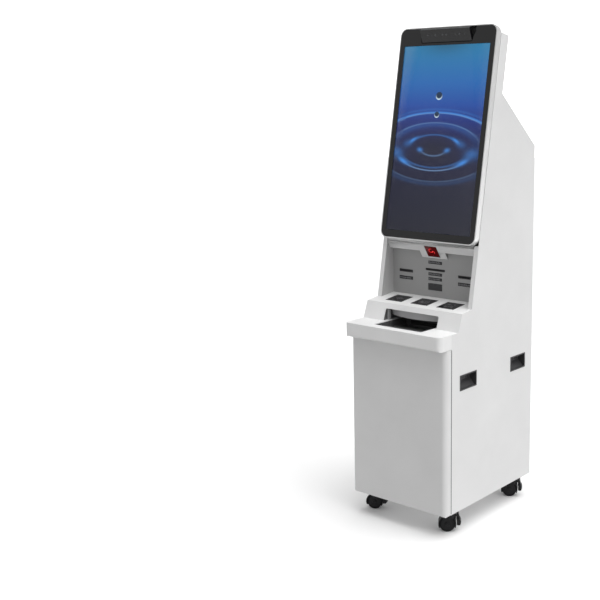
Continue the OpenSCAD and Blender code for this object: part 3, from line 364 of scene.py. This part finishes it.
SLOTS = {
    "white_powder_coat": (WHITE, 0.8), "door_powder_coat": (DOOR, 0.8),
    "fascia_powder_coat": (FASCIA, 0.3), "white_moulding": (MOULD, 1.4),
    "display_trim": (TRIM, 1.0), "zinc_steel": (ZINC, 0.3), "black_plastic": (BLACK, 0.5),
    "handle_plastic": (HANDLE, 0.6), "tray_plastic": (TRAY, 0.6), "guard_plastic": (GUARD, 0.5),
    "window_plastic": (WINDOW, 0.25), "scanner_filter": (SCANNER, 0.3),
    "display_glass": (GLASS, 0.6), "lens_glass": (LENS, 0.2), "screen": (SCREEN, 0),
    "module_casing": (CASING, 0.8), "cassette_plastic": (CASSETTE, 1.2), "paper": (PAPER, 0.6),
    "caster_steel": (STEEL_PAINT, 0.4), "caster_nylon": (NYLON, 0.6), "caster_tread": (TREAD, 0.5),
}


# Pieces whose look differs from the rest of their slot
# the cheeks' look holds painted shade on their niche side
OWN_LOOKS = {"camera_bar": BAR, "side_cheeks": CHEEK_SHADE}


def smooth_edges(obj, width_mm):
    """Rounds the piece's hard edges and shades the flat faces flat."""
    for poly in obj.data.polygons:
        poly.use_smooth = True
    if "custom_normal" in obj.data.attributes:
        obj.data.attributes.remove(obj.data.attributes["custom_normal"])
    weld = obj.modifiers.new("weld", "WELD")
    weld.merge_threshold = 1e-5
    if width_mm:
        bevel = obj.modifiers.new("bevel", "BEVEL")
        bevel.width = width_mm * MM
        bevel.segments = 2
        bevel.limit_method = "ANGLE"
        bevel.angle_limit = math.radians(38)
        normals = obj.modifiers.new("normals", "WEIGHTED_NORMAL")
        normals.keep_sharp = False
    else:
        split = obj.modifiers.new("split", "EDGE_SPLIT")
        split.split_angle = math.radians(35)


for sub in frame["record"]["subparts"]:
    obj = NODES[sub["node"]]
    material, bevel_mm = SLOTS[sub["material_slot"]]
    material = OWN_LOOKS.get(sub["node"], material)
    obj.data.materials.clear()
    obj.data.materials.append(material)
    smooth_edges(obj, bevel_mm)


# ------------------------------------------------------------------ pieces

def mesh_piece(name, bm, material, body, place=HERE, bevel_mm=0.0, smooth=True):
    """Makes a mesh object out of bm, given in mm in its own frame, and lets it ride on a body."""
    mesh = bpy.data.meshes.new(name)
    bmesh.ops.recalc_face_normals(bm, faces=bm.faces)
    bm.to_mesh(mesh)
    bm.free()
    mesh.transform(Matrix.Scale(MM, 4))
    mesh.transform(place)
    obj = bpy.data.objects.new(name, mesh)
    bpy.context.scene.collection.objects.link(obj)
    mesh.materials.append(material)
    if smooth:
        smooth_edges(obj, bevel_mm)
    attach(obj, body)
    return obj


def add_box(bm, lo, hi):
    size = [b - a for a, b in zip(lo, hi)]
    made = bmesh.ops.create_cube(bm, size=1)["verts"]
    bmesh.ops.scale(bm, vec=size, verts=made)
    bmesh.ops.translate(bm, vec=[(a + b) / 2 for a, b in zip(lo, hi)], verts=made)


def boxes(name, items, material, body, place=FROM_DOOR, bevel_mm=0.0):
    """One piece made of separate boxes, each given by its lowest and highest corner in mm."""
    bm = bmesh.new()
    for lo, hi in items:
        add_box(bm, lo, hi)
    return mesh_piece(name, bm, material, body, place, bevel_mm)


def rods(name, items, material, body, place=FROM_DOOR, bevel_mm=0.0, sides=32):
    """One piece made of round rods, each (start, end, radius) in mm."""
    bm = bmesh.new()
    for start, end, radius in items:
        start, end = Vector(start), Vector(end)
        along = end - start
        turn = along.to_track_quat("Z", "Y").to_matrix().to_4x4()
        middle = Matrix.Translation((start + end) / 2)
        bmesh.ops.create_cone(bm, cap_ends=True, segments=sides, radius1=radius, radius2=radius,
                              depth=along.length, matrix=middle @ turn)
    return mesh_piece(name, bm, material, body, place, bevel_mm)


def arc_band(bm, centre, r_in, r_out, start_deg, end_deg, lift, thick=0.08, steps=24):
    """A flat curved band lying in the frame's XY plane at height lift."""
    low, high = [], []
    for k in range(steps + 1):
        a = math.radians(start_deg + (end_deg - start_deg) * k / steps)
        for r in (r_in, r_out):
            x, y = centre[0] + r * math.cos(a), centre[1] + r * math.sin(a)
            low.append(bm.verts.new((x, y, lift)))
            high.append(bm.verts.new((x, y, lift + thick)))
    for k in range(steps):
        i = 2 * k
        bm.faces.new((high[i], high[i + 1], high[i + 3], high[i + 2]))
        bm.faces.new((low[i], low[i + 2], low[i + 3], low[i + 1]))
        bm.faces.new((low[i], high[i], high[i + 2], low[i + 2]))
        bm.faces.new((low[i + 1], low[i + 3], high[i + 3], high[i + 1]))
    for i in (0, 2 * steps):
        bm.faces.new((low[i], low[i + 1], high[i + 1], high[i]))


def frame_boxes(x0, y0, x1, y1, line, z0, z1):
    """Four boxes that outline a rectangle in the frame's XY plane."""
    return [((x0, y0, z0), (x1, y0 + line, z1)), ((x0, y1 - line, z0), (x1, y1, z1)),
            ((x0, y0 + line, z0), (x0 + line, y1 - line, z1)),
            ((x1 - line, y0 + line, z0), (x1, y1 - line, z1))]


def upright(flat, d0, d1):
    """Boxes drawn across and up, as boxes between two depths."""
    return [((a[0], d0, a[1]), (b[0], d1, b[1])) for a, b in flat]


def smooth_path(points, per_span=8):
    """Points along a curve that passes through the given ones."""
    p = [Vector(q) for q in points]
    p = [2 * p[0] - p[1]] + p + [2 * p[-1] - p[-2]]
    out = []
    for i in range(1, len(p) - 2):
        for k in range(per_span):
            t = k / per_span
            a, b, c, e = p[i - 1], p[i], p[i + 1], p[i + 2]
            out.append(0.5 * (2 * b + (c - a) * t + (2 * a - 5 * b + 4 * c - e) * t * t
                              + (3 * b - a - 3 * c + e) * t ** 3))
    return out + [p[-2]]


def cables(name, runs, material, body="cabinet", sides=10):
    """One piece made of round cables, each (points, radius) in mm."""
    bm = bmesh.new()
    for points, radius in runs:
        path = smooth_path(points)
        before = None
        rings = []
        for i, centre in enumerate(path):
            along = (path[min(i + 1, len(path) - 1)] - path[max(i - 1, 0)]).normalized()
            side = before if before is not None else along.orthogonal().normalized()
            side = (side - along * side.dot(along)).normalized()
            before = side
            other = along.cross(side)
            rings.append([bm.verts.new(centre + radius * (math.cos(a) * side + math.sin(a) * other))
                          for a in (2 * math.pi * k / sides for k in range(sides))])
        for r0, r1 in zip(rings, rings[1:]):
            for k in range(sides):
                bm.faces.new((r0[k], r0[(k + 1) % sides], r1[(k + 1) % sides], r1[k]))
        bm.faces.new(rings[0][::-1])
        bm.faces.new(rings[-1])
    return mesh_piece(name, bm, material, body, FROM_DOOR)


# --- pocket that the camera bar tilts out of: its black lining, painted shade of the gap behind the bar, whose sides lean outwards
NOTCH_FOOT, NOTCH_HEAD = 116.9, 131.7    # half widths at the notch's lower and upper edges
NOTCH_LOW, NOTCH_HIGH = 746.1, 802.9     # where those edges are, up the glass
NOTCH_CORNERS = ((-NOTCH_FOOT, NOTCH_LOW), (NOTCH_FOOT, NOTCH_LOW),
                 (NOTCH_HEAD, NOTCH_HIGH), (-NOTCH_HEAD, NOTCH_HIGH))
NOTCH_DEPTH = 19                         # how far behind the glass's face the back lies
WALL, BACK = 0.8, 0.9                    # thickness of the lining's walls and back
UPPER_WALL = 2                           # this wall starts nearer the glass's face


def notch_wall(bm, p0, p1, y0, y1):
    """A thin wall along one side of the notch, thickened towards the notch's middle."""
    middle = Vector((0, (NOTCH_LOW + NOTCH_HIGH) / 2))
    ends = [(p, p + (middle - p).normalized() * WALL) for p in (Vector(p0), Vector(p1))]
    verts = [[bm.verts.new((q.x, y, q.y)) for q in pair for y in (y0, y1)] for pair in ends]
    (a0, a1, b0, b1), (c0, c1, e0, e1) = verts
    for face in ((a0, a1, b1, b0), (c0, e0, e1, c1), (a0, c0, c1, a1), (b0, b1, e1, e0),
                 (a0, b0, e0, c0), (a1, c1, e1, b1)):
        bm.faces.new(face)


def notch_shade_lining():
    bm = bmesh.new()
    for k in range(4):
        start = 0.3 if k == UPPER_WALL else 4.2
        notch_wall(bm, NOTCH_CORNERS[k], NOTCH_CORNERS[(k + 1) % 4], start, NOTCH_DEPTH)
    front = [bm.verts.new((x, NOTCH_DEPTH, z)) for x, z in NOTCH_CORNERS]
    back = [bm.verts.new((x, NOTCH_DEPTH + BACK, z)) for x, z in NOTCH_CORNERS]
    bm.faces.new(front)
    bm.faces.new(back[::-1])
    for k in range(4):
        bm.faces.new((front[k], back[k], back[(k + 1) % 4], front[(k + 1) % 4]))
    return bm


# black as painted shade of the gap behind the tilted camera bar
mesh_piece("camera_pocket_shade_lining", notch_shade_lining(), BLACK, "cabinet", DISPLAY)


# --- prints on the indicator windows: a small sign and a row of plain marks

PRINT_D = (WINDOW_D - 0.12, WINDOW_D - 0.01)   # depths between which the prints lie


def indicator_print(name, x, z, width):
    left = x - width / 2 + 4
    items = upright((
        ((left, z - 2.8), (left + 5.6, z - 2.2)), ((left, z + 2.2), (left + 5.6, z + 2.8)),
        ((left, z - 2.2), (left + 0.7, z + 2.2)), ((left + 4.9, z - 2.2), (left + 5.6, z + 2.2)),
        ((left + 2.1, z - 0.7), (left + 3.5, z + 0.7))), *PRINT_D)
    d0, d1 = PRINT_D
    for k in range(11):
        w = (2.6, 1.7, 2.9, 2.2)[k % 4]
        x0 = left + 9 + k * 4.1
        if x0 + w > x + width / 2 - 3:
            break
        items.append(((x0, d0, z - 2.1), (x0 + w, d1, z - 1.4)))
        items.append(((x0, d0, z + 1.4), (x0 + w, d1, z + 2.1)))
        items.append(((x0, d0, z - 1.4), (x0 + 0.7, d1, z + 1.4)))
    boxes(name, items, INK, "cabinet")


for row, z in enumerate((991, 945.5, 926.7)):
    indicator_print(f"indicator_print_{row}", 0, z, 65)
for side, x in (("left", -142), ("right", 142)):
    indicator_print(f"indicator_print_{side}", x, 919, 67)
pad = frame_boxes(-33.5, 882.5, 33.5, 909.5, 0.6, 0, 1)
boxes("pad_edge", upright(pad, *PRINT_D), INK_DIM, "cabinet")

# --- signs on the reader windows
tap = bmesh.new()
for r in (7, 13, 19):
    arc_band(tap, (-123, 60), r, r + 2.2, 35, 145, 0.02)
arc_band(tap, (-123, 60), 0.01, 3.0, 0, 360, 0.02)
mesh_piece("tap_sign", tap, INK_DIM, "cabinet", SHELF)
boxes("card_sign", frame_boxes(-19, 56, 19, 82, 1.6, 0.02, 0.1)
      + [((-14, 62, 0.02), (-4, 72, 0.1)), ((0, 70, 0.02), (14, 72, 0.1)),
         ((0, 64, 0.02), (10, 66, 0.1))],
      INK_DIM, "cabinet", SHELF)
code = []
for cx, cy in ((109, 58), (137, 58), (109, 84)):
    code += frame_boxes(cx - 5, cy - 5, cx + 5, cy + 5, 1.6, 0.02, 0.1)
    code.append(((cx - 1.6, cy - 1.6, 0.02), (cx + 1.6, cy + 1.6, 0.1)))
for k in range(18):
    cx, cy = 119 + (k * 7) % 24, 57 + (k * 11) % 30
    code.append(((cx, cy, 0.02), (cx + 2, cy + 2, 0.1)))
boxes("code_sign", code, INK_DIM, "cabinet", SHELF)
rims = []
for x in (-123, 0, 123):
    rims += frame_boxes(x - 40, 32, x + 40, 109, 0.7, 0.0, 0.12)
boxes("reader_window_rims", rims, BLACK, "cabinet", SHELF)

# --- scanner: glowing sight and dark rim on the red window
sight = bmesh.new()
arc_band(sight, (-4, 28), 8, 10, 20, 300, -0.1)
arc_band(sight, (4, 36), 5, 7, 200, 420, -0.1)
mesh_piece("scanner_sight", sight, RED_GLOW, "cabinet", HEADER)
boxes("scanner_rim", frame_boxes(-29, 5.5, 29, 58.5, 1.6, -0.25, 0.0), BLACK, "cabinet",
      HEADER)

# --- blanking strip over the lower edge of the scanner's hatch in the fascia
boxes("hatch_strip", [((-43, 237.02, 1000), (43, 238.98, 1011))], FASCIA, "cabinet")

# --- slots: shutters a little way in
boxes("slot_shutters",
      [((-171, 243.5, 945), (-113, 244.5, 950)), ((-42.5, 243.5, 960.6), (42.5, 244.5, 964.8))],
      BLACK, "cabinet")

# --- tray: jambs at the sides of the guard, and the outlet's flap
boxes("tray_jambs", [((s * 123 - 3.7, 100, 776.1), (s * 123 + 3.7, 113, 820.9)) for s in (-1, 1)],
      GUARD, "cabinet", bevel_mm=0.6)
boxes("tray_outlet_flap", [((-89, 199.0, 746.5), (89, 201.5, 761.5))], RUBBER, "cabinet",
      bevel_mm=0.5)

# --- handle recesses: grip ribs on the back wall
for s, side in ((-1, "left"), (1, "right")):
    ribs = []
    for start in (86, 425):
        for k in range(6):
            d0 = start + 16 + k * 14
            xs = sorted((s * (SIDE_X - 27.6), s * (SIDE_X - 25.6)))
            ribs.append(((xs[0], d0, 588), (xs[1], d0 + 5, 608)))
    boxes(f"handle_ribs_{side}", ribs, HANDLE, "cabinet", bevel_mm=0.5)

# --- cassettes: carrying bars, locks and status windows
CASSETTE_FEET = [97 + k * 110 for k in range(4)]
bars, locks, lamps, faces = [], [], [], []
for z in CASSETTE_FEET:
    bars += [((-50, 84, z + 58), (50, 84, z + 58), 4.2)]
    locks.append(((80, 73.2, z + 30), (80, 71.6, z + 30), 7))
    lamps.append(((-86, 73.1, z + 76), (-74, 73.9, z + 80)))
    faces += frame_boxes(-98, z + 6, 98, z + 96, 1.2, 0, 1)
rods("cassette_bars", bars, BLACK, "cabinet")
rods("cassette_locks", locks, ZINC, "cabinet", bevel_mm=0.4)
boxes("cassette_lamps", lamps, GREEN_GLOW, "cabinet")
boxes("cassette_borders", upright(faces, 73.4, 73.95), CASING, "cabinet")


# --- inside, seen with the rear door open: ports, ducts, boards and wiring
boxes("computer_ports",
      [((-60 + k * 24, 535.5, 1300), (-44 + k * 24, 537.2, 1312)) for k in range(8)]
      + [((150, 535.5, 1082), (172, 537.5, 1100)), ((-60, 535.5, 1082), (-20, 537.2, 1094))],
      BLACK, "cabinet", bevel_mm=0.4)
boxes("computer_ribs",
      [((-64 + k * 14, 535.6, 1130), (-58 + k * 14, 538.5, 1270)) for k in range(16)],
      CASING, "cabinet", bevel_mm=0.5)
boxes("power_supply_terminals",
      [((-182 + k * 12, 535.5, 1298), (-173 + k * 12, 540, 1312)) for k in range(7)],
      BLACK, "cabinet", bevel_mm=0.4)
rods("power_supply_screws",
     [((-177.5 + k * 12, 540, 1305), (-177.5 + k * 12, 540.8, 1305), 3) for k in range(7)],
     ZINC, "cabinet", sides=16)
boxes("cable_ducts", [((179, 505, 330), (196, 535, 1060)), ((-196, 505, 330), (-179, 535, 1060))],
      DUCT, "cabinet", bevel_mm=1.0)
# black patches on the ducts' slots: painted shade of the openings
boxes("duct_slot_shade",
      [((x, 535.1, z), (x + 13, 535.6, z + 3)) for x in (181, -194) for z in range(340, 1050, 12)],
      BLACK, "cabinet")
boxes("control_board", [((-100, 520.5, 580), (100, 522.2, 690))], BOARD, "cabinet")
boxes("control_board_chips",
      [((-80, 522.2, 640), (-44, 524.5, 676)), ((-20, 522.2, 650), (0, 524, 662)),
       ((20, 522.2, 600), (60, 524.2, 616))]
      + [((-84 + k * 13, 522.2, 590), (-76 + k * 13, 526, 600)) for k in range(6)]
      + [((72, 522.2, 620 + k * 12), (92, 530, 629 + k * 12)) for k in range(5)],
      BLACK, "cabinet", bevel_mm=0.3)
cables("wiring", [
    ([(82, 530, 624), (110, 536, 620), (150, 530, 640), (178, 520, 660)], 2.6),
    ([(82, 530, 648), (112, 540, 650), (150, 534, 670), (178, 522, 690)], 2.6),
    ([(82, 530, 672), (112, 542, 684), (150, 536, 700), (178, 524, 720)], 2.6),
    ([(161, 538, 1082), (165, 545, 1066), (188, 545, 1040), (190, 530, 1020)], 3.4),
    ([(-40, 538, 1082), (-40, 548, 1064), (-20, 548, 1050), (60, 546, 1046), (150, 540, 1042),
      (190, 528, 1034)], 2.4),
    ([(-176, 540, 1298), (-180, 546, 1280), (-206, 530, 1240), (-206, 528, 1150),
      (-192, 522, 1070), (-190, 520, 1040)], 3.0),
    ([(-146, 558, 126), (-150, 545, 150), (-186, 530, 240), (-190, 520, 335)], 3.6)], BLACK)
cables("earth_wire", [
    ([(-164, 538, 1300), (-166, 546, 1282), (-196, 534, 1230), (-204, 520, 1120),
      (-190, 515, 1050)], 1.8)], EARTH)

# --- inside, seen with the front door open
boxes("rack_rails",
      [((x - 2, 66, z - 2.5), (x + 2, 70, z + 100)) for z in CASSETTE_FEET for x in (-116, 116)],
      BLACK, "cabinet", bevel_mm=0.5)
cables("front_wiring", [
    ([(136, 120, 545), (150, 110, 500), (152, 112, 420), (148, 120, 330), (150, 130, 240)], 3.0),
    ([(146, 124, 545), (160, 116, 500), (162, 118, 400), (158, 124, 300), (156, 132, 240)], 2.4)],
       BLACK)
boxes("floor_junction_box", [((132, 100, 94), (196, 190, 150))], CASING, "cabinet", bevel_mm=2.0)
boxes("junction_sockets",
      [((138 + k * 14, 98.8, 110), (148 + k * 14, 100, 132)) for k in range(4)],
      BLACK, "cabinet", bevel_mm=0.4)

# --- doors: seals and pads on their inner sides
boxes("front_door_seal",
      [((-195.5, 2.2, 130), (-190.5, 5.5, 690)), ((190.5, 2.2, 130), (195.5, 5.5, 690))],
      RUBBER, "front_door", bevel_mm=0.8)
boxes("front_door_pocket", [((55, 2.1, 420), (175, 12, 560))], CASING, "front_door", bevel_mm=1.0)
boxes("rear_door_seal",
      [((-219.8, 578.5, 200), (-215.5, 580.9, 1420)), ((-215.5, 578.5, 196), (205, 580.9, 200))],
      RUBBER, "rear_door", bevel_mm=0.4)

# --- rear door face: ring round the lock
ring = bmesh.new()
arc_band(ring, (0, 0), 6.4, 11.5, 0, 360, 0, 0.45, 48)
mesh_piece("rear_lock_ring", ring, ZINC, "rear_door",
           Matrix.Translation(at(-190, 582.5, 800)) @ Matrix.Rotation(math.radians(-90), 4, "X"))

# --- side panels: painted shade of the door seam, as thin dark strips over the front edges, beside the door
for s, side in ((-1, "left"), (1, "right")):
    outer = sorted((s * SIDE_X, s * (SIDE_X + 0.3)))
    edge = sorted((s * (SIDE_X - 1.9), s * (SIDE_X + 0.3)))
    boxes(f"seam_shade_{side}",
          [((outer[0], 34.4, 97), (outer[1], 36.6, 719)),
           ((edge[0], 34.35, 97), (edge[1], 34.48, 719))],
          SEAM_SHADE, "cabinet")

# --- casters: wheel discs, hub caps, and grip ribs on the brake pedals
CASTER_X, CASTER_D = 178, (97, 530)      # kingpins: across, and the depths of the two rows
TRAIL, WHEEL_R = 12, 30                  # how far the axle trails, and the wheels' radius
# Side, row and turn in degrees of each caster
CASTERS = {"fl": (-1, 0, 202), "fr": (1, 0, 217), "rl": (-1, 1, 200), "rr": (1, 1, 210)}
for tag, (side, row, turn) in CASTERS.items():
    place = (Matrix.Translation(at(side * CASTER_X, CASTER_D[row], 0))
             @ Matrix.Rotation(math.radians(turn), 4, "Z"))
    rods(f"wheel_discs_{tag}",
         [((TRAIL, s * 14.9, WHEEL_R), (TRAIL, s * 16.6, WHEEL_R), 23.8) for s in (-1, 1)],
         TREAD, f"wheels_{tag}", place, 0.5, 48)
    rods(f"hub_caps_{tag}",
         [((TRAIL, s * 20.4, WHEEL_R), (TRAIL, s * 21.6, WHEEL_R), 6.5) for s in (-1, 1)],
         NYLON, f"fork_{tag}", place, 0.5, 32)
    foot = place @ Matrix.Translation(Vector((-27, 0, 66)) * MM)
    boxes(f"pedal_ribs_{tag}",
          [((-12.7, -15, -32 + k * 3.6), (-11.6, 15, -30.4 + k * 3.6)) for k in range(3)],
          NYLON, f"pedal_{tag}", foot, 0.3)

# ------------------------------------------------------------------ stage

FLOOR_HALF = 30                          # m
BACKDROP_R, BACKDROP_TALL = 28, 40       # m
BACKDROP_MIDDLE = 19.9                   # m, so that its foot lies a little below the floor

floor_mesh = bpy.data.meshes.new("floor")
corners = [(x * FLOOR_HALF, y * FLOOR_HALF, 0) for x, y in ((-1, -1), (1, -1), (1, 1), (-1, 1))]
floor_mesh.from_pydata(corners, [], [(0, 1, 2, 3)])
floor = bpy.data.objects.new("floor", floor_mesh)
floor_mesh.materials.append(plain("floor", (0.94, 0.94, 0.94), 0.8))
bpy.context.scene.collection.objects.link(floor)
# The floor takes shadows and throws no diffuse light up at the cabinet
floor.visible_diffuse = False

wall_bm = bmesh.new()
bmesh.ops.create_cone(wall_bm, cap_ends=False, segments=64, radius1=BACKDROP_R,
                      radius2=BACKDROP_R, depth=BACKDROP_TALL,
                      matrix=Matrix.Translation((0, 0, BACKDROP_MIDDLE)))
wall_mesh = bpy.data.meshes.new("backdrop")
wall_bm.to_mesh(wall_mesh)
wall_bm.free()
wall = bpy.data.objects.new("backdrop", wall_mesh)
wall_mesh.materials.append(plain("backdrop", (1, 1, 1), 1.0, emission=1.0))
bpy.context.scene.collection.objects.link(wall)
# The backdrop is only looked at: the two lights and the world do the lighting
wall.visible_diffuse = False
wall.visible_glossy = False
wall.visible_shadow = False


def sky_light(name, heading, energy, spread_deg):
    """A distant soft light that shines along heading."""
    data = bpy.data.lights.new(name, "SUN")
    data.energy = energy
    data.angle = math.radians(spread_deg)
    obj = bpy.data.objects.new(name, data)
    obj.rotation_euler = Vector(heading).to_track_quat("-Z", "Y").to_euler()
    bpy.context.scene.collection.objects.link(obj)


sky_light("overhead light", (-0.28, -0.04, -0.95), 2.45, 60)
sky_light("side light", (-0.93, 0.05, -0.35), 0.80, 40)

background = bpy.data.worlds.new("studio")
background.use_nodes = True
background.node_tree.nodes["Background"].inputs["Color"].default_value = (1, 1, 1, 1)
background.node_tree.nodes["Background"].inputs["Strength"].default_value = 0.50
bpy.context.scene.world = background
bpy.context.scene.view_settings.view_transform = "Standard"

camera_data = bpy.data.cameras.new("camera")
camera_data.lens = 59.37
camera_data.shift_x = -0.2222
camera_data.shift_y = -0.0373
camera = bpy.data.objects.new("camera", camera_data)
camera.location = (2.2606, -3.0325, 1.5802)
camera.rotation_euler = (math.radians(90 - 9.782), 0, math.radians(37.149))
bpy.context.scene.collection.objects.link(camera)
bpy.context.scene.camera = camera
